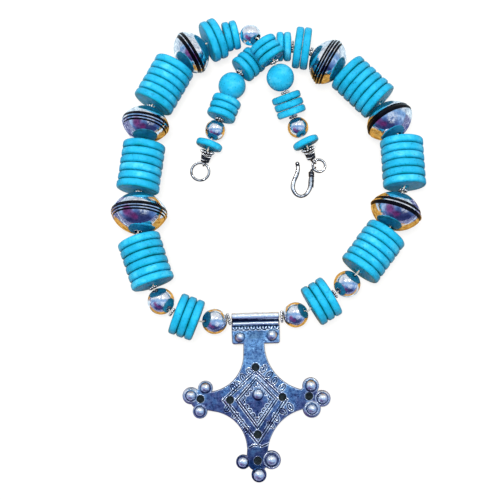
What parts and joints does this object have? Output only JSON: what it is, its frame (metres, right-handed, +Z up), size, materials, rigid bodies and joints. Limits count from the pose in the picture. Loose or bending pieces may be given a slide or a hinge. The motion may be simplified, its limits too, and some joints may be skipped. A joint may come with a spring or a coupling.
{
  "type": "beaded necklace with cross pendant",
  "caption": "Necklace of turquoise discs and hollow silver beads on a thread, with a cast silver cross pendant and an open hook and ring clasp, lying open on a surface.",
  "frame": {"origin": "middle of the footprint, on the surface that the necklace lies on", "axes": "+Z up from that surface, +Y from the pendant towards the clasp, +X to the right seen from above"},
  "size_m": [0.1551, 0.2306, 0.0281],
  "materials": {
    "turquoise": "dyed turquoise stone, tumbled to a soft polish",
    "silver": "worn polished silver with blackened grooves",
    "thread": "waxed white beading thread"
  },
  "bodies": {
    "root": {"clasp_ring": "silver", "hook": "silver", "jump_ring": "silver", "left_banded_bead_1": "silver", "left_banded_bead_2": "silver", "left_banded_bead_3": "silver", "left_cap": "silver", "left_cone": "silver", "left_crossing_ball": "silver", "left_crossing_discs": "turquoise", "left_end_ball": "silver", "left_end_disc": "turquoise", "left_inner_ball": "silver", "left_low_discs": "turquoise", "left_lower_stack": "turquoise", "left_middle_stack": "turquoise", "left_second_ball": "silver", "left_small_discs": "turquoise", "left_small_pair": "turquoise", "left_spacers": "silver", "left_stone_ball": "turquoise", "left_top_discs": "turquoise", "left_upper_stack": "turquoise", "pendant_cross": "silver", "right_banded_bead_1": "silver", "right_banded_bead_2": "silver", "right_banded_bead_3": "silver", "right_cap": "silver", "right_cone": "silver", "right_crossing_ball": "silver", "right_crossing_discs": "turquoise", "right_end_ball": "silver", "right_end_disc": "turquoise", "right_inner_ball": "silver", "right_low_discs": "turquoise", "right_lower_stack": "turquoise", "right_middle_stack": "turquoise", "right_second_ball": "silver", "right_small_discs": "turquoise", "right_small_pair": "turquoise", "right_spacers": "silver", "right_stone_ball": "turquoise", "right_top_discs": "turquoise", "right_upper_stack": "turquoise", "thread": "thread"}
  },
  "joints": []
}
